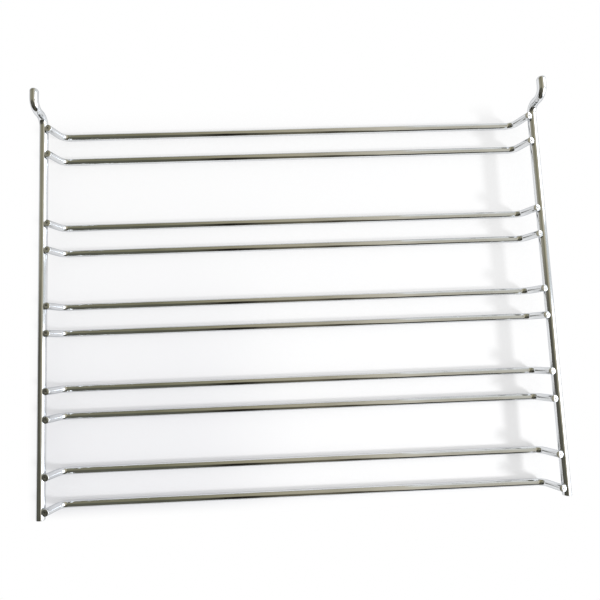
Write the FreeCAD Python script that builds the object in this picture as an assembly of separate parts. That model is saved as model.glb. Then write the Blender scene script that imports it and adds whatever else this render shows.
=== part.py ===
import FreeCAD, Part
import math
import os

# Oven shelf side rack of chrome-plated steel wire: two hooked uprights and five pairs of rails.
# A shelf slides between the two rails of a pair. Each rail is bent like a long staple whose legs
# lean outwards, and the ends of the legs are resistance welded to the inner sides of the uprights.
# The rack lies on its rails: X along the rails, +Y towards the hooks, +Z towards the oven wall.
# All sizes are in millimetres.

# Wire stock
upright_diameter = 6.0
rail_diameter = 5.0

# Layout of the ladder
upright_spacing = 364.0  # between the axes of the two uprights
rail_stand_off = 14.0  # from the axes of the rails to the axes of the uprights
lower_overhang = 5.8  # upright past the axis of the lowest rail
bottom_slot_pitch = 23.0  # lower rail to upper rail, lowest level
slot_pitch = 19.3  # lower rail to upper rail, every other level
bottom_level_pitch = 57.7  # upper rail to upper rail, level 1 to 2
middle_level_pitch = 59.4  # upper rail to upper rail, levels 2 to 3 and 3 to 4
top_level_pitch = 70.6  # upper rail to upper rail, level 4 to 5

# Legs of the rails
rail_bend_radius = 6.3  # at the axis of the wire
leg_lean = 13.0  # degrees from upright, towards the outside
leg_end_length = 2.9  # cut end past the middle of the weld, along the leg
leg_end_chamfer = 0.3

# Welds
weld_set_down = 0.5  # how far the two wires sink into each other
weld_inset = 0.25  # nugget of squeezed-out metal, inside the radius of the rail

# Hooks
hook_neck_rise = 9.3  # axis of the neck past the axis of the top rail
hook_bend_radius = 7.0  # at the axis of the wire
hook_neck_length = 1.5  # straight run between the two bends
hook_tip_length = 7.2  # straight run past the second bend
hook_tip_round = 2.2
lower_end_chamfer = 0.4

upright_radius = upright_diameter / 2
rail_radius = rail_diameter / 2
rail_z = rail_radius
upright_z = rail_z + rail_stand_off
upright_x = upright_spacing / 2

# A leg runs past its upright at a right angle, and the weld lies on the shortest line between their axes
weld_reach = upright_radius + rail_radius - weld_set_down
leg_across = math.sin(math.radians(leg_lean))
leg_upward = math.cos(math.radians(leg_lean))
weld_x = upright_x - weld_reach * leg_upward
weld_z = upright_z + weld_reach * leg_across
leg_end_x = weld_x + leg_end_length * leg_across
leg_end_z = weld_z + leg_end_length * leg_upward
leg_corner_x = weld_x - (weld_z - rail_z) * leg_across / leg_upward

# Heights of the rails above the lower ends of the uprights, lowest level first
level_pitches = [bottom_level_pitch, middle_level_pitch, middle_level_pitch, top_level_pitch]
slot_pitches = [bottom_slot_pitch] + [slot_pitch] * len(level_pitches)
upper_heights = [lower_overhang + bottom_slot_pitch]
for pitch in level_pitches:
    upper_heights.append(upper_heights[-1] + pitch)

hook_reach = 2 * hook_bend_radius + hook_neck_length
neck_height = upper_heights[-1] + hook_neck_rise
overall_height = neck_height + hook_bend_radius + hook_tip_length
lower_end_y = -overall_height / 2


def point(x, y, z):
    return FreeCAD.Vector(x, y, z)


def bent_path(corners, bend_radius):
    """Straight runs through the corners, joined by tangent arcs of one radius."""
    edges = []
    start = corners[0]
    for before, corner, after in zip(corners, corners[1:], corners[2:]):
        back = (before - corner).normalize()
        ahead = (after - corner).normalize()
        half_angle = back.getAngle(ahead) / 2
        setback = bend_radius / math.tan(half_angle)
        centre = corner + (back + ahead).normalize() * (bend_radius / math.sin(half_angle))
        arc_start = corner + back * setback
        arc_middle = centre + (corner - centre).normalize() * bend_radius
        arc_end = corner + ahead * setback
        edges.append(Part.LineSegment(start, arc_start).toShape())
        edges.append(Part.Arc(arc_start, arc_middle, arc_end).toShape())
        start = arc_end
    edges.append(Part.LineSegment(start, corners[-1]).toShape())
    return Part.Wire(edges)


def bent_wire(corners, bend_radius, diameter):
    """A round wire swept through the corners, with square-cut ends."""
    section = Part.Wire(Part.makeCircle(diameter / 2, corners[0], corners[1] - corners[0]))
    return bent_path(corners, bend_radius).makePipe(Part.Face(section))


def end_edge(wire_solid, end):
    """The circular edge round a cut end of a wire."""
    return [
        edge
        for edge in wire_solid.Edges
        if isinstance(edge.Curve, Part.Circle) and edge.Curve.Center.isEqual(end, 1e-4)
    ]


def upright(side):
    """A straight wire with a hook at its top, bent towards the wall and then up."""
    x = side * upright_x
    neck_y = lower_end_y + neck_height
    hook_z = upright_z + hook_reach
    corners = [
        point(x, lower_end_y, upright_z),
        point(x, neck_y, upright_z),
        point(x, neck_y, hook_z),
        point(x, lower_end_y + overall_height, hook_z),
    ]
    hooked = bent_wire(corners, hook_bend_radius, upright_diameter)
    hooked = hooked.makeChamfer(lower_end_chamfer, end_edge(hooked, corners[0]))
    return hooked.makeFillet(hook_tip_round, end_edge(hooked, corners[-1]))


def weld_nugget(side, rail_y):
    """Metal squeezed out round the contact of a rail's end and its upright."""
    on_leg_axis = point(side * weld_x, rail_y, weld_z)
    to_upright = point(side * leg_upward, 0, -leg_across)
    return Part.makeCylinder(rail_radius - weld_inset, weld_reach, on_leg_axis, to_upright)


def rail(height, uprights):
    """A staple-shaped wire with a weld nugget at each end, coped to the uprights it is welded to."""
    y = lower_end_y + height
    corners = [
        point(-leg_end_x, y, leg_end_z),
        point(-leg_corner_x, y, rail_z),
        point(leg_corner_x, y, rail_z),
        point(leg_end_x, y, leg_end_z),
    ]
    staple = bent_wire(corners, rail_bend_radius, rail_diameter)
    for end in (corners[0], corners[-1]):
        staple = staple.makeChamfer(leg_end_chamfer, end_edge(staple, end))
    welded = staple.fuse([weld_nugget(-1, y), weld_nugget(1, y)])
    return welded.cut(uprights).removeSplitter()


left_upright = upright(-1)
right_upright = upright(1)
pieces = {"left_upright": left_upright, "right_upright": right_upright}
for level, (upper_height, level_slot) in enumerate(zip(upper_heights, slot_pitches), start=1):
    lower_height = upper_height - level_slot
    pieces[f"shelf_{level}_lower_rail"] = rail(lower_height, [left_upright, right_upright])
    pieces[f"shelf_{level}_upper_rail"] = rail(upper_height, [left_upright, right_upright])

os.makedirs("parts", exist_ok=True)
for name, piece in pieces.items():
    piece.exportStep(f"parts/{name}.step")
    print(f"{name}: {len(piece.Solids)} solid, {piece.Volume:.1f} mm3")
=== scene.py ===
import math
import random

import bpy
from mathutils import Matrix, Vector


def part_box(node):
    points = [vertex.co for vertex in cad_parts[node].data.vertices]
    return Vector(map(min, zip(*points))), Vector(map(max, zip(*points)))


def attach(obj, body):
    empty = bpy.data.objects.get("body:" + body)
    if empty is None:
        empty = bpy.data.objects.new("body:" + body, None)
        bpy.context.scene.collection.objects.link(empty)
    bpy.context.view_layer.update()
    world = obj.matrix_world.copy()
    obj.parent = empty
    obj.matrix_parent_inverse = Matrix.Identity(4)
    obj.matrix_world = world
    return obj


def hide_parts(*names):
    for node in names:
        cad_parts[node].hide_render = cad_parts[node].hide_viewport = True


# Chrome oven shelf rack, lying on its rails on a white table.
# Everything is in metres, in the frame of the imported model.
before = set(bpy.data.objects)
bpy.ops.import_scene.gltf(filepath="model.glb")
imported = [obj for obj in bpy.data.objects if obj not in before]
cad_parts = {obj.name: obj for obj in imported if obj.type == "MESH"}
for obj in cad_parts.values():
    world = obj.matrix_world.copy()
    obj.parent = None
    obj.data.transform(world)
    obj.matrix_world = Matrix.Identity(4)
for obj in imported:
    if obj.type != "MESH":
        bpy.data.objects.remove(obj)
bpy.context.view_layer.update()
print("frame loaded, nodes:", len(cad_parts))

scene = bpy.context.scene
scene.view_settings.view_transform = "Standard"


# Chrome plate on drawn wire
chrome = {
    "name": "chromePlate",
    "brightMetal": (0.785, 0.80, 0.815, 1),
    "dullMetal": (0.68, 0.692, 0.70, 1),
    "edgeTint": (0.55, 0.56, 0.58, 1),  # seen along the surface, where chrome is dimmer
    "polished": 0.045,  # roughness of clean plate
    "smudged": 0.13,  # roughness where it has been handled
    "worked": 0.17,  # roughness of cut ends and welds
    # Noise scales are along the wire, then twice across it
    "patches": {"scale": (40, 160, 160), "detail": 4.0, "roughness": 0.6},  # handling marks
    "patchRange": (0.42, 0.72),  # of the noise, from clean to handled
    "dieLines": {"scale": (6, 2600, 2600), "detail": 3.0, "roughness": 0.55},  # left by the drawing die
    "dieRelief": {"Strength": 0.10, "Distance": 0.00006},
    "waves": {"scale": (55, 330, 330), "detail": 2.0, "roughness": 0.45},  # long waves in the plate
    "waveRelief": {"Strength": 0.16, "Distance": 0.0006},
}
black = (0, 0, 0, 1)
white = (1, 1, 1, 1)


def addNode(tree, kind, place, **values):
    node = tree.nodes.new(kind)
    node.location = place
    for name, value in values.items():
        if hasattr(node, name):
            setattr(node, name, value)
        else:
            node.inputs[name.replace("_", " ")].default_value = value
    return node


def fillRamp(node, stops):
    ramp = node.color_ramp
    while len(ramp.elements) < len(stops):
        ramp.elements.new(1)
    for element, (position, colour) in zip(ramp.elements, stops):
        element.position = position
        element.color = colour


def softStep(tree, place, value, low, high):
    node = addNode(tree, "ShaderNodeMapRange", place, From_Min=low, From_Max=high)
    node.interpolation_type = "SMOOTHSTEP"
    tree.links.new(value, node.inputs["Value"])
    return node.outputs["Result"]


def joinValues(tree, place, operation, first, second):
    node = addNode(tree, "ShaderNodeMath", place, operation=operation)
    tree.links.new(first, node.inputs[0])
    if hasattr(second, "is_output"):
        tree.links.new(second, node.inputs[1])
    else:
        node.inputs[1].default_value = second
    return node.outputs["Value"]


def distanceFrom(tree, place, value, middle):
    gap = joinValues(tree, place, "SUBTRACT", value, middle)
    return joinValues(tree, (place[0] + 80, place[1]), "ABSOLUTE", gap, 0.0)


def seenRays(tree, rays):
    # 1 for what the camera sees, directly, mirrored or through glass
    direct, mirrored = rays.outputs["Is Camera Ray"], rays.outputs["Is Glossy Ray"]
    seen = joinValues(tree, (-100, 500), "MAXIMUM", direct, mirrored)
    return joinValues(tree, (0, 400), "MAXIMUM", seen, rays.outputs["Is Transmission Ray"])


def wireNoise(tree, wire, height, values):
    # Noise in the wire's own coordinates: along it, and round its section
    spread = addNode(tree, "ShaderNodeMapping", (-1100, height), Scale=values["scale"])
    noise = addNode(tree, "ShaderNodeTexNoise", (-900, height), Scale=1.0)
    noise.inputs["Detail"].default_value = values["detail"]
    noise.inputs["Roughness"].default_value = values["roughness"]
    tree.links.new(wire.outputs["Vector"], spread.inputs["Vector"])
    tree.links.new(spread.outputs["Vector"], noise.inputs["Vector"])
    return noise.outputs["Fac"]


def makeChrome():
    material = bpy.data.materials.new(chrome["name"])
    material.use_nodes = True
    tree = material.node_tree
    link = tree.links.new
    shader = tree.nodes["Principled BSDF"]
    shader.inputs["Metallic"].default_value = 1
    shader.inputs["Specular Tint"].default_value = chrome["edgeTint"]

    wire = addNode(tree, "ShaderNodeAttribute", (-1300, 100), attribute_name="alongWire")
    work = addNode(tree, "ShaderNodeAttribute", (-1300, -500), attribute_name="worked")
    patches = wireNoise(tree, wire, 300, chrome["patches"])
    lines = wireNoise(tree, wire, -50, chrome["dieLines"])
    waves = wireNoise(tree, wire, -300, chrome["waves"])
    patchRamp = addNode(tree, "ShaderNodeValToRGB", (-700, 300))
    fillRamp(patchRamp, list(zip(chrome["patchRange"], (black, white))))
    link(patches, patchRamp.inputs["Fac"])

    # Roughness: polished, then handled, then worked
    handled = addNode(tree, "ShaderNodeMapRange", (-450, 250))
    handled.inputs["To Min"].default_value = chrome["polished"]
    handled.inputs["To Max"].default_value = chrome["smudged"]
    rough = addNode(tree, "ShaderNodeMix", (-250, 150), data_type="FLOAT", clamp_factor=False)
    rough.inputs["B"].default_value = chrome["worked"]
    link(patchRamp.outputs["Color"], handled.inputs["Value"])
    link(handled.outputs["Result"], rough.inputs["A"])
    link(work.outputs["Fac"], rough.inputs["Factor"])
    link(rough.outputs["Result"], shader.inputs["Roughness"])

    # Colour: a little duller where it is handled or worked
    dulling = addNode(tree, "ShaderNodeMath", (-450, 0), operation="MAXIMUM")
    tint = addNode(tree, "ShaderNodeMix", (-250, -50), data_type="RGBA", clamp_factor=False)
    tint.inputs["A"].default_value = chrome["brightMetal"]
    tint.inputs["B"].default_value = chrome["dullMetal"]
    link(patchRamp.outputs["Color"], dulling.inputs[0])
    link(work.outputs["Fac"], dulling.inputs[1])
    link(dulling.outputs["Value"], tint.inputs["Factor"])
    link(tint.outputs["Result"], shader.inputs["Base Color"])

    # Relief: die lines on top of the long waves
    waveBump = addNode(tree, "ShaderNodeBump", (-450, -300), **chrome["waveRelief"])
    lineBump = addNode(tree, "ShaderNodeBump", (-250, -300), **chrome["dieRelief"])
    link(waves, waveBump.inputs["Height"])
    link(lines, lineBump.inputs["Height"])
    link(waveBump.outputs["Normal"], lineBump.inputs["Normal"])
    link(lineBump.outputs["Normal"], shader.inputs["Normal"])
    return material


chromePlate = makeChrome()
print("chrome plate mixed")


# How finely every wire is drawn
wireDetail = {
    "sides": 48,
    "bendSteps": 20,  # rings in a bend
    "straightStep": 0.006,  # longest gap between rings
    "endSteps": 6,  # rings on a cut end, and again on its edge
    "endClear": 1.2,  # rings of the wire keep clear of a cut end by this many times its depth
    "crease": 0.0002,  # softness of the crease beside a slant
    "bendWear": 0.22,  # dulling of the plate in a bend
}


def bendWire(corners, bendRadius):
    # Centreline of a wire bent round at each corner: (point, direction, share of bend)
    stations = []

    def addStraight(start, end):
        direction = (end - start).normalized()
        length = (end - start).length
        steps = max(2, math.ceil(length / wireDetail["straightStep"]))
        first = 0 if not stations else 1
        for step in range(first, steps + 1):
            stations.append((start.lerp(end, step / steps), direction, 0.0))

    start = corners[0]
    for before, corner, after in zip(corners, corners[1:], corners[2:]):
        into = (corner - before).normalized()
        out = (after - corner).normalized()
        bendAngle = into.angle(out)
        inward = (out - into * into.dot(out)).normalized()
        arcStart = corner - into * bendRadius * math.tan(bendAngle / 2)
        centre = arcStart + inward * bendRadius
        addStraight(start, arcStart)
        for step in range(1, wireDetail["bendSteps"] + 1):
            share = step / wireDetail["bendSteps"]
            turn = bendAngle * share
            direction = into * math.cos(turn) + inward * math.sin(turn)
            place = centre - inward * bendRadius * math.cos(turn) + into * bendRadius * math.sin(turn)
            stations.append((place, direction, math.sin(math.pi * share)))
        start = stations[-1][0]
    addStraight(start, corners[-1])
    return stations


def bevelDepth(end, inward):
    # The shears leave a slant on the inner side, with a soft crease
    past = inward - end["bevelStart"]
    return end["bevelSlope"] * (past + math.hypot(past, wireDetail["crease"])) / 2


def endProfile(radius, end, inner):
    # A sheared end from its centre outwards: (radius, depth below the tip, wear)
    steps = wireDetail["endSteps"]
    flat = radius - end["edge"]
    profile = []
    for step in range(1, steps + 1):
        share = step / steps
        reach = flat * share
        pip = 0.5 + 0.5 * math.cos(math.pi * min(1, reach / end["pipRadius"]))
        depth = end["crown"] * share * share + end["pip"] * pip
        profile.append((reach, depth + bevelDepth(end, reach * inner), 1.0 + end["pipDulling"] * pip))
    for step in range(1, steps + 1):
        turn = math.pi / 2 * step / steps
        reach = flat + end["edge"] * math.sin(turn)
        depth = end["crown"] + end["edge"] * (1 - math.cos(turn))
        profile.append((reach, depth + bevelDepth(end, reach * inner), 1.0))
    return profile


def sweepWire(corners, bendRadius, radius, plane, startEnd, finishEnd, worked):
    # Round wire along a flat path; plane is the normal of the path's plane
    stations = bendWire(corners, bendRadius)
    sides = wireDetail["sides"]
    turns = [2 * math.pi * side / sides for side in range(sides)]
    verts = []
    faces = []
    coords = []
    dull = []
    rings = []

    def addRing(centre, direction, travel, section):
        # section gives (radius, distance along the wire, wear) for every side
        across = direction.cross(plane)
        ring = []
        for turn, (reach, ahead, wear) in zip(turns, section):
            offset = plane * math.cos(turn) + across * math.sin(turn)
            ring.append(len(verts))
            verts.append(centre + offset * reach + direction * ahead)
            coords.append((travel + ahead, reach * math.cos(turn), reach * math.sin(turn)))
            dull.append(wear)
        rings.append(ring)

    def addPole(centre, travel, wear):
        verts.append(centre)
        coords.append((travel, 0.0, 0.0))
        dull.append(wear)
        return len(verts) - 1

    startRings = list(zip(*[endProfile(radius, startEnd, math.sin(turn)) for turn in turns]))
    finishRings = list(zip(*[endProfile(radius, finishEnd, math.sin(turn)) for turn in turns]))
    startClear = wireDetail["endClear"] * max(depth for reach, depth, wear in startRings[-1])
    finishClear = wireDetail["endClear"] * max(depth for reach, depth, wear in finishRings[-1])
    firstPoint, firstWay, _ = stations[0]
    lastPoint, lastWay, _ = stations[-1]

    firstPole = addPole(firstPoint + firstWay * startEnd["pip"], 0.0, 1.0 + startEnd["pipDulling"])
    for section in startRings:
        addRing(firstPoint, firstWay, 0.0, section)
    travel = 0.0
    previous = firstPoint
    total = sum((b[0] - a[0]).length for a, b in zip(stations, stations[1:]))
    for place, direction, bend in stations:
        travel += (place - previous).length
        previous = place
        if startClear < travel < total - finishClear:
            wear = max(wireDetail["bendWear"] * bend, worked(place))
            addRing(place, direction, travel, [(radius, 0.0, wear)] * sides)
    for section in reversed(finishRings):
        addRing(lastPoint, lastWay, total, [(reach, -depth, wear) for reach, depth, wear in section])
    lastPole = addPole(lastPoint - lastWay * finishEnd["pip"], total, 1.0 + finishEnd["pipDulling"])

    for near, far in zip(rings, rings[1:]):
        for side in range(sides):
            after = (side + 1) % sides
            faces.append((near[side], far[side], far[after], near[after]))
    for side in range(sides):
        after = (side + 1) % sides
        faces.append((firstPole, rings[0][side], rings[0][after]))
        faces.append((lastPole, rings[-1][after], rings[-1][side]))
    return verts, faces, coords, dull


def makePiece(name, verts, faces, coords, dull):
    mesh = bpy.data.meshes.new(name)
    mesh.from_pydata(verts, [], faces)
    mesh.validate()
    along = mesh.attributes.new("alongWire", "FLOAT_VECTOR", "POINT")
    along.data.foreach_set("vector", [value for coord in coords for value in coord])
    worked = mesh.attributes.new("worked", "FLOAT", "POINT")
    worked.data.foreach_set("value", dull)
    mesh.polygons.foreach_set("use_smooth", [True] * len(mesh.polygons))
    mesh.materials.append(chromePlate)
    piece = bpy.data.objects.new(name, mesh)
    scene.collection.objects.link(piece)
    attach(piece, "root")
    return piece


# A cut end without a slant or a dimple
plainEnd = {"bevelStart": 0, "bevelSlope": 0, "pip": 0, "pipRadius": 0.0006, "pipDulling": 0}

# Uprights with a hook at the top
uprights = {
    "bendRadius": 0.007,
    "tipLength": 0.0072,  # straight wire past the second bend
    "foot": {**plainEnd, "edge": 0.0005, "crown": 0.00012},
    "tip": {**plainEnd, "edge": 0.0022, "crown": 0.0001},
    "weldWear": 0.375,  # dulling of the plate at a weld
}

# Staple-shaped rails with legs that lean outwards
rails = {
    "bendRadius": 0.0063,
    "lean": 13.0,  # degrees
    "endLength": 0.0029,  # cut end past the middle of the weld
    "setDown": 0.0005,  # how far rail and upright sink into each other
    "cutEnd": {
        "edge": 0.0003,
        "bevelStart": 0.0007,  # from the wire's axis
        "bevelSlope": 0.45,
        "crown": 0.00006,
        "pip": 0.0003,  # dimple in the middle
        "pipRadius": 0.0011,
        "pipDulling": 4.0,  # darker, rougher metal in the dimple, most in its middle
    },
    "weldWear": 0.75,
    "weldReach": 0.004,  # length of plate dulled by a weld
}

leftLow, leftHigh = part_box("left_upright")
rightLow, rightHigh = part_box("right_upright")
uprightRadius = (leftHigh.x - leftLow.x) / 2
uprightAxis = leftLow.z + uprightRadius
tipAxis = leftHigh.z - uprightRadius
railNames = [f"shelf_{level}_{part}_rail" for level in range(1, 6) for part in ("lower", "upper")]
railBoxes = {name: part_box(name) for name in railNames}
railHeights = [(low.y + high.y) / 2 for low, high in railBoxes.values()]
railLow, railHigh = railBoxes[railNames[0]]
railRadius = (railHigh.y - railLow.y) / 2
railAxis = railLow.z + railRadius

# The weld lies on the shortest line from a leg's axis to its upright's axis
uprightX = (rightLow.x + rightHigh.x) / 2
weldGap = uprightRadius + railRadius - rails["setDown"]
leanAcross = math.sin(math.radians(rails["lean"]))
leanUp = math.cos(math.radians(rails["lean"]))
weldX = uprightX - weldGap * leanUp
weldZ = uprightAxis + weldGap * leanAcross


def nearWeld(along, weldPlaces):
    # 1 at a weld, falling to 0 at the end of its reach
    gap = min(abs(along - place) for place in weldPlaces)
    return max(0.0, 1 - gap / rails["weldReach"])


def makeUpright(name, low, high):
    x = (low.x + high.x) / 2
    neck = high.y - uprights["tipLength"] - uprights["bendRadius"]
    corners = [
        Vector((x, low.y, uprightAxis)),
        Vector((x, neck, uprightAxis)),
        Vector((x, neck, tipAxis)),
        Vector((x, high.y, tipAxis)),
    ]
    shape = sweepWire(
        corners, uprights["bendRadius"], uprightRadius, Vector((1, 0, 0)),
        uprights["foot"], uprights["tip"],
        lambda place: uprights["weldWear"] * nearWeld(place.y, railHeights),
    )
    piece = makePiece(f"{name}_wire", *shape)
    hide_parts(name)


makeUpright("left_upright", leftLow, leftHigh)
makeUpright("right_upright", rightLow, rightHigh)
print("uprights bent")


def makeRail(name, y):
    endX = weldX + rails["endLength"] * leanAcross
    endZ = weldZ + rails["endLength"] * leanUp
    cornerX = weldX - (weldZ - railAxis) * leanAcross / leanUp
    corners = [
        Vector((-endX, y, endZ)),
        Vector((-cornerX, y, railAxis)),
        Vector((cornerX, y, railAxis)),
        Vector((endX, y, endZ)),
    ]
    shape = sweepWire(
        corners, rails["bendRadius"], railRadius, Vector((0, 1, 0)),
        rails["cutEnd"], rails["cutEnd"],
        lambda place: rails["weldWear"] * nearWeld(place.z, [weldZ]),
    )
    piece = makePiece(f"{name}_wire", *shape)
    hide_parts(name)


for name, y in zip(railNames, railHeights):
    makeRail(name, y)
print("rails bent:", len(railNames))


# Weld beads: metal squeezed out between a rail's end and its upright
beads = {
    "gap": 0.00085,  # how far apart the wires are where the bead meets them
    "sink": 0.00012,  # the bead's edges lie this deep in the wires
    "hollow": 0.28,  # depth of the hollow between the edges, as a share of the gap
    "core": 0.55,  # the inside of the bead, as a share of its reach
    "coreSink": 0.0002,  # the core lies this deep in the upright
    "widest": 0.99,  # of the rail's radius
    "uneven": 0.12,
    "wavesRound": (1, 2, 3, 5),  # waves of unevenness in a turn
    "waveSize": (0.3, 1),  # least and most
    "wear": 0.8,
    "grain": 0.002,  # length of plate in a radian, for the noise
    "turns": 40,
    "steps": 7,
    "tries": 30,
    "seed": 7,
}


def wireFaces(turn, away):
    # Where the faces of a leg and its upright lie outwards of the leg's axis, at a place beside
    # the weld's middle line: turn is the way to it round that line, away is how far it is
    onRail = math.sqrt(max(0.0, railRadius ** 2 - (away * math.sin(turn)) ** 2))
    onUpright = math.sqrt(max(0.0, uprightRadius ** 2 - (away * math.cos(turn)) ** 2))
    return onRail, weldGap - onUpright


def beadReach(turn, gap):
    # How far from the middle line the two wires are this gap apart, by halving
    near = 0.0
    far = railRadius * beads["widest"]
    for _ in range(beads["tries"]):
        away = (near + far) / 2
        onRail, onUpright = wireFaces(turn, away)
        if onUpright - onRail < gap:
            near = away
        else:
            far = away
    return away


def beadSection(turn, gap):
    # Outline of the bead, one way from the middle line: (distance from it, distance outwards)
    away = beadReach(turn, gap)
    onRail, onUpright = wireFaces(turn, away)
    section = [(away * beads["core"], weldGap - uprightRadius + beads["coreSink"])]
    for part in range(beads["steps"] + 1):
        share = part / beads["steps"]
        dip = gap * beads["hollow"] * math.sin(math.pi * share)
        outward = onRail - beads["sink"] + (onUpright - onRail + 2 * beads["sink"]) * share
        section.append((away - dip, outward))
    return section


def makeBeads(name, side):
    dice = random.Random(beads["seed"] + side)
    outwards = Vector((side * leanUp, 0, -leanAcross))
    alongLeg = Vector((side * leanAcross, 0, leanUp))
    turns = beads["turns"]
    count = beads["steps"] + 2  # points in a section
    verts = []
    faces = []
    coords = []
    for y in railHeights:
        phases = []
        for wave in beads["wavesRound"]:
            phases.append((wave, dice.uniform(0, 2 * math.pi), dice.uniform(*beads["waveSize"])))
        first = len(verts)
        for step in range(turns):
            turn = 2 * math.pi * step / turns
            swell = sum(size * math.sin(wave * turn + phase) / wave for wave, phase, size in phases)
            for spread, outward in beadSection(turn, beads["gap"] * (1 + beads["uneven"] * swell)):
                onLeg = Vector((side * weldX, y + spread * math.sin(turn), weldZ))
                verts.append(onLeg + alongLeg * spread * math.cos(turn) + outwards * outward)
                coords.append((y + turn * beads["grain"], spread, outward))
        for step in range(turns):
            near = first + step * count
            far = first + (step + 1) % turns * count
            for part in range(count):
                after = (part + 1) % count
                quad = (near + part, far + part, far + after, near + after)
                faces.append(quad if side > 0 else quad[::-1])
    makePiece(name, verts, faces, coords, [beads["wear"]] * len(verts))


makeBeads("left_weld_beads", -1)
makeBeads("right_weld_beads", 1)
print("welds set down:", 2 * len(railHeights))


# White table; a share of what is seen of it glows, which keeps its shadows light
table = {
    "reach": 6.0,
    "paper": (0.93, 0.93, 0.935, 1),
    "paperShade": (0.90, 0.90, 0.91, 1),
    "fibre": {"Scale": 14.0, "Detail": 6.0, "Roughness": 0.6},
    "roughness": 0.9,
    "gloss": 0.1,
    "paintedShadeTint": (0.916, 0.917, 0.931, 1),  # painted shade towards the near left corner, away from the window
    "paintedShadeAcross": (0.01, -0.09),  # along the rails
    "paintedShadeAlong": (0.11, -0.12),  # along the uprights
    "glowShare": (0.32, 0.58),  # at the near end, and from the middle on, where the larger share paints the shadows lighter
    "glowRise": (-0.11, 0.02),
    "sideMargin": (0.186, 0.200),  # from the middle, past which the table glows all white and its shadows are painted out
    "nearMargin": (-0.1465, -0.157),
    "farMargin": (0.126, 0.150),
}


def tableMargin(tree, across, along):
    # 1 past the rack, where the table glows all white, which paints out the shadows cast there
    aside = distanceFrom(tree, (-450, 350), across, 0.0)
    margin = softStep(tree, (-350, 350), aside, *table["sideMargin"])
    for end in ("nearMargin", "farMargin"):
        past = softStep(tree, (-350, 200), along, *table[end])
        margin = joinValues(tree, (-250, 300), "MAXIMUM", margin, past)
    return margin


def paintShadedCorner(tree, across, along, margin):
    # Painted shade: tint of the table inside the margins, darker towards the near left corner, white
    # where it is not dimmed
    within = addNode(tree, "ShaderNodeMapRange", (-150, 150), To_Min=1.0, To_Max=0.0)
    tree.links.new(margin, within.inputs["Value"])
    dim = joinValues(
        tree, (-250, -150), "MULTIPLY",
        softStep(tree, (-350, -150), across, *table["paintedShadeAcross"]),
        softStep(tree, (-350, -300), along, *table["paintedShadeAlong"]),
    )
    dim = joinValues(tree, (-150, -150), "MULTIPLY", dim, within.outputs["Result"])
    tint = addNode(tree, "ShaderNodeMix", (-50, -150), data_type="RGBA")
    tint.inputs["A"].default_value = white
    tint.inputs["B"].default_value = table["paintedShadeTint"]
    tree.links.new(dim, tint.inputs["Factor"])
    return tint.outputs["Result"]


def glowShare(tree, along, margin):
    # Share of the glow in what is seen of the table, larger towards the far end, which paints the
    # shadows there lighter
    nearShare, farShare = table["glowShare"]
    inside = addNode(tree, "ShaderNodeMapRange", (-250, 50), To_Min=nearShare, To_Max=farShare)
    share = addNode(tree, "ShaderNodeMapRange", (-150, 300), To_Max=1.0)
    rays = addNode(tree, "ShaderNodeLightPath", (-300, 500))
    rise = softStep(tree, (-350, 50), along, *table["glowRise"])
    tree.links.new(rise, inside.inputs["Value"])
    tree.links.new(margin, share.inputs["Value"])
    tree.links.new(inside.outputs["Result"], share.inputs["To Min"])
    return joinValues(tree, (100, 400), "MULTIPLY", seenRays(tree, rays), share.outputs["Result"])


def makePaper():
    material = bpy.data.materials.new("tablePaper")
    material.use_nodes = True
    tree = material.node_tree
    link = tree.links.new
    shader = tree.nodes["Principled BSDF"]
    shader.inputs["Roughness"].default_value = table["roughness"]
    shader.inputs["Specular IOR Level"].default_value = table["gloss"]
    where = addNode(tree, "ShaderNodeTexCoord", (-800, 0))
    split = addNode(tree, "ShaderNodeSeparateXYZ", (-600, 300))
    link(where.outputs["Object"], split.inputs["Vector"])
    across, along = split.outputs["X"], split.outputs["Y"]
    margin = tableMargin(tree, across, along)
    # The table's colour and its glow both carry the painted shade towards the near left corner
    tint = paintShadedCorner(tree, across, along, margin)

    fibre = addNode(tree, "ShaderNodeTexNoise", (-600, 0), **table["fibre"])
    tone = addNode(tree, "ShaderNodeMix", (-300, 0), data_type="RGBA")
    tone.inputs["A"].default_value = table["paperShade"]
    tone.inputs["B"].default_value = table["paper"]
    dimmed = addNode(tree, "ShaderNodeMix", (50, 0), data_type="RGBA", blend_type="MULTIPLY")
    dimmed.inputs["Factor"].default_value = 1.0
    link(where.outputs["Object"], fibre.inputs["Vector"])
    link(fibre.outputs["Fac"], tone.inputs["Factor"])
    link(tone.outputs["Result"], dimmed.inputs["A"])
    link(tint, dimmed.inputs["B"])
    link(dimmed.outputs["Result"], shader.inputs["Base Color"])

    glow = addNode(tree, "ShaderNodeEmission", (0, -400), Strength=1.0)
    both = addNode(tree, "ShaderNodeMixShader", (400, 0))
    link(tint, glow.inputs["Color"])
    link(glowShare(tree, along, margin), both.inputs["Fac"])
    link(shader.outputs["BSDF"], both.inputs[1])
    link(glow.outputs["Emission"], both.inputs[2])
    link(both.outputs["Shader"], tree.nodes["Material Output"].inputs["Surface"])
    return material


def makeTable():
    reach = table["reach"]
    mesh = bpy.data.meshes.new("whiteTable")
    outline = [(-reach, -reach, 0), (reach, -reach, 0), (reach, reach, 0), (-reach, reach, 0)]
    mesh.from_pydata(outline, [], [(0, 1, 2, 3)])
    mesh.materials.append(makePaper())
    floor = bpy.data.objects.new("whiteTable", mesh)
    scene.collection.objects.link(floor)


makeTable()
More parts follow.
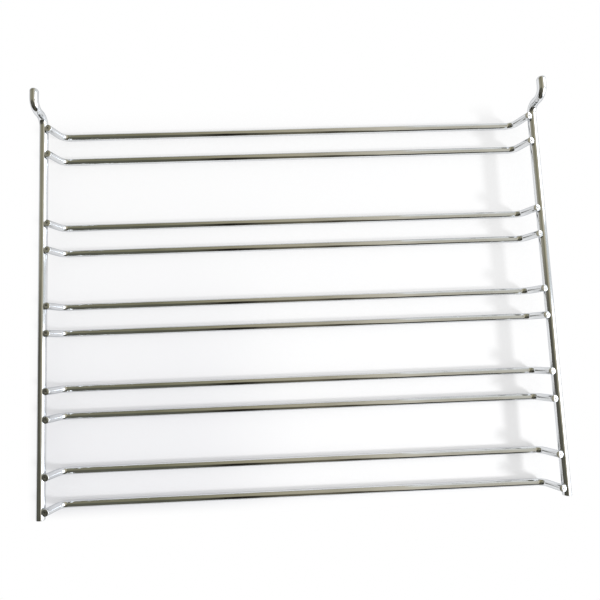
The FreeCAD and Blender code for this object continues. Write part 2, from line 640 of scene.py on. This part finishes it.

# Light tent that only the chrome mirrors: its cloth, skirt, flags, corner, wall and window panes glow
# as painted reflections and painted highlights, and light nothing else. Places in it are directions:
# across from left to right, along from the near side to the far side, both from -1 to 1
tent = {
    "radius": 2.2,
    "segments": 96,
    "rings": 48,
    "cloth": [
        (-1.0, (0.36, 0.34, 0.28, 1)),
        (-0.28, (0.23, 0.22, 0.14, 1)),
        (-0.10, (0.36, 0.33, 0.23, 1)),
        (0.10, (0.48, 0.44, 0.33, 1)),
        (0.30, (0.62, 0.58, 0.48, 1)),
        (0.47, (0.58, 0.55, 0.46, 1)),
        (0.68, (0.66, 0.70, 0.69, 1)),
        (1.0, (0.85, 0.89, 0.92, 1)),
    ],
    "skirt": [  # the dark near side, painted as a dark reflection
        (-1.0, (0.085, 0.08, 0.065, 1)),
        (-0.36, (0.13, 0.13, 0.10, 1)),
        (-0.24, (0.105, 0.105, 0.08, 1)),
        (0.02, (0.115, 0.105, 0.075, 1)),
        (0.18, (0.18, 0.165, 0.12, 1)),
        (0.27, (0.02, 0.019, 0.017, 1)),
    ],
    "skirtEdge": (-0.08, -0.32),  # along, in the middle of the tent
    "skirtRise": (0.75, -0.4, 0.2),  # slope of the edge, and where it begins and ends
    "skirtDip": (0.33, 0.18, 0.28),  # how far it drops on the right, and where
    "corner": (-0.38, -0.50),  # across, dark corner on the left
    "cornerFoot": (-0.35, -0.65),  # along
    "flags": [(-0.085, 0.105, 0.97), (0.172, 0.06, 0.7)],  # across, half width, depth
    # Painted dark reflection of the flags and the near left corner
    "darkReflectionTone": (0.012, 0.010, 0.008, 1),
    # Painted reflection of a bright wall on the far right
    "backWall": (0.86, 0.88, 0.87, 1),
    "backWallSide": (0.30, 0.325),  # across
    "backWallFoot": (0.35, 0.90),  # along
    "windowEdge": (0.55, 0.61),  # across
    "panes": [(-0.60, 0.07), (0.20, 0.55)],  # along
    "sill": 0.10,  # height
    "paneSoftness": 0.05,
    # Painted highlight: glow of the window's panes, which the chrome mirrors in place of the window
    # lamp
    "paintedHighlight": (3.4, 3.5, 3.7, 1),
}


def tentPlace(across):
    return (across + 1) / 2


def addCloth(tree, place, position, stops):
    node = addNode(tree, "ShaderNodeValToRGB", place)
    fillRamp(node, [(tentPlace(across), tone) for across, tone in stops])
    tree.links.new(position, node.inputs["Fac"])
    return node.outputs["Color"]


def layTone(tree, place, under, share, over):
    node = addNode(tree, "ShaderNodeMix", place, data_type="RGBA")
    tree.links.new(share, node.inputs["Factor"])
    tree.links.new(under, node.inputs["A"])
    if hasattr(over, "is_output"):
        tree.links.new(over, node.inputs["B"])
    else:
        node.inputs["B"].default_value = over
    return node.outputs["Result"]


def paintTent(tree):
    link = tree.links.new
    where = addNode(tree, "ShaderNodeTexCoord", (-1600, 0))
    scaled = addNode(tree, "ShaderNodeVectorMath", (-1400, 0), operation="NORMALIZE")
    split = addNode(tree, "ShaderNodeSeparateXYZ", (-1200, 0))
    link(where.outputs["Object"], scaled.inputs[0])
    link(scaled.outputs["Vector"], split.inputs["Vector"])
    across, along, height = split.outputs["X"], split.outputs["Y"], split.outputs["Z"]
    position = addNode(tree, "ShaderNodeMapRange", (-1000, 300), From_Min=-1.0, From_Max=1.0)
    link(across, position.inputs["Value"])
    cloth = addCloth(tree, (-800, 400), position.outputs["Result"], tent["cloth"])
    skirt = addCloth(tree, (-800, 150), position.outputs["Result"], tent["skirt"])

    # Dark flags hang in the skirt, painted as dark reflections
    for middle, halfWidth, depth in tent["flags"]:
        aside = distanceFrom(tree, (-1000, -100), across, middle)
        flag = softStep(tree, (-700, -100), aside, halfWidth, 0.0)
        flag = joinValues(tree, (-550, -100), "MULTIPLY", flag, depth)
        skirt = layTone(tree, (-400, 0), skirt, flag, tent["darkReflectionTone"])

    # The skirt's edge runs down from left to right, and drops on the right
    slope, riseStart, riseEnd = tent["skirtRise"]
    rise = joinValues(tree, (-1000, -300), "MAXIMUM", across, riseStart)
    rise = joinValues(tree, (-850, -300), "MINIMUM", rise, riseEnd)
    rise = joinValues(tree, (-700, -300), "MULTIPLY", rise, slope)
    drop, dropStart, dropEnd = tent["skirtDip"]
    dip = softStep(tree, (-1000, -450), across, dropStart, dropEnd)
    dip = joinValues(tree, (-700, -450), "MULTIPLY", dip, drop)
    level = joinValues(tree, (-550, -300), "ADD", along, rise)
    level = joinValues(tree, (-400, -300), "ADD", level, dip)
    low = softStep(tree, (-250, -300), level, *tent["skirtEdge"])
    tone = layTone(tree, (-100, 100), cloth, low, skirt)

    # Painted reflections: a dark corner on the near left, a bright wall on the far right, then the
    # window's panes as painted highlights
    corner = joinValues(
        tree, (-100, -400), "MULTIPLY",
        softStep(tree, (-250, -400), across, *tent["corner"]),
        softStep(tree, (-250, -450), along, *tent["cornerFoot"]),
    )
    tone = layTone(tree, (0, 100), tone, corner, tent["darkReflectionTone"])

    wall = joinValues(
        tree, (-100, -500), "MULTIPLY",
        softStep(tree, (-250, -500), across, *tent["backWallSide"]),
        softStep(tree, (-250, -650), along, *tent["backWallFoot"]),
    )
    tone = layTone(tree, (100, 100), tone, wall, tent["backWall"])

    soft = tent["paneSoftness"]
    glass = joinValues(
        tree, (-100, -800), "MULTIPLY",
        softStep(tree, (-250, -800), across, *tent["windowEdge"]),
        softStep(tree, (-250, -950), height, tent["sill"], tent["sill"] + soft),
    )
    for near, far in tent["panes"]:
        pane = joinValues(
            tree, (-100, -1100), "MULTIPLY",
            softStep(tree, (-250, -1100), along, near, near + soft),
            softStep(tree, (-250, -1250), along, far, far - soft),
        )
        pane = joinValues(tree, (50, -1100), "MULTIPLY", pane, glass)
        tone = layTone(tree, (250, 100), tone, pane, tent["paintedHighlight"])
    return tone


def makeTent():
    bpy.ops.mesh.primitive_uv_sphere_add(
        segments=tent["segments"], ring_count=tent["rings"], radius=tent["radius"],
    )
    dome = bpy.context.object
    dome.name = "lightTent"
    for face in dome.data.polygons:
        face.use_smooth = True
    material = bpy.data.materials.new("tentPaintedReflections")
    material.use_nodes = True
    tree = material.node_tree
    tree.nodes.clear()
    output = addNode(tree, "ShaderNodeOutputMaterial", (700, 0))
    glow = addNode(tree, "ShaderNodeEmission", (500, 0))
    tree.links.new(paintTent(tree), glow.inputs["Color"])
    tree.links.new(glow.outputs["Emission"], output.inputs["Surface"])
    dome.data.materials.append(material)
    # The tent is seen only in the chrome's reflections: hidden from the camera, it lights nothing and
    # casts no shadow
    dome.visible_camera = False
    dome.visible_diffuse = False
    dome.visible_shadow = False


makeTent()

# Low window on the right that throws the shadows, and soft light from everywhere
window = {
    "from": (0.86, -0.35, 0.48),
    "distance": 2.0,
    "width": 0.36,
    "height": 0.15,
    "power": 26.0,
}
fill = {"colour": white, "strength": 0.79}


def makeLight():
    lamp = bpy.data.lights.new("windowLight", "AREA")
    lamp.shape = "RECTANGLE"
    lamp.size = window["width"]
    lamp.size_y = window["height"]
    lamp.energy = window["power"]
    holder = bpy.data.objects.new("windowLight", lamp)
    way = Vector(window["from"]).normalized()
    holder.location = way * window["distance"]
    holder.rotation_euler = way.to_track_quat("Z", "Y").to_euler()
    holder.visible_camera = False
    # The chrome does not mirror this lamp; the tent's glowing panes give its painted highlight
    holder.visible_glossy = False
    scene.collection.objects.link(holder)

    world = bpy.data.worlds.new("softRoom")
    scene.world = world
    world.use_nodes = True
    tree = world.node_tree
    link = tree.links.new
    back = tree.nodes["Background"]
    back.inputs["Color"].default_value = fill["colour"]
    rays = addNode(tree, "ShaderNodeLightPath", (-700, 0))
    level = addNode(tree, "ShaderNodeMapRange", (-200, 0), To_Min=fill["strength"], To_Max=1.0)
    link(seenRays(tree, rays), level.inputs["Value"])
    link(level.outputs["Result"], back.inputs["Strength"])


makeLight()
print("table, tent and window set up")

# Camera over the rack, a little below its middle, with the top of the picture turned slightly right
viewpoint = {
    "place": (-0.02467, -0.03788, 0.35666),
    "aim": (-0.01510, -0.00359, 0.0),
    "topTurn": 2.21,  # degrees
    "sensor": 36,  # millimetres, as the lens
    "lens": 28.57,
    "sideShift": 0.038,  # the rack stands right of the lens's own middle
    "nearClip": 0.01,
}


def makeCamera():
    data = bpy.data.cameras.new("photoView")
    data.sensor_fit = "HORIZONTAL"
    data.sensor_width = viewpoint["sensor"]
    data.lens = viewpoint["lens"]
    data.shift_x = viewpoint["sideShift"]
    data.clip_start = viewpoint["nearClip"]
    camera = bpy.data.objects.new("photoView", data)
    scene.collection.objects.link(camera)
    place = Vector(viewpoint["place"])
    forward = (Vector(viewpoint["aim"]) - place).normalized()
    turn = math.radians(viewpoint["topTurn"])
    right = forward.cross(Vector((math.sin(turn), math.cos(turn), 0))).normalized()
    top = right.cross(forward)
    camera.matrix_world = Matrix((
        (right.x, top.x, -forward.x, place.x),
        (right.y, top.y, -forward.y, place.y),
        (right.z, top.z, -forward.z, place.z),
        (0, 0, 0, 1),
    ))
    scene.camera = camera


makeCamera()
print("camera placed")
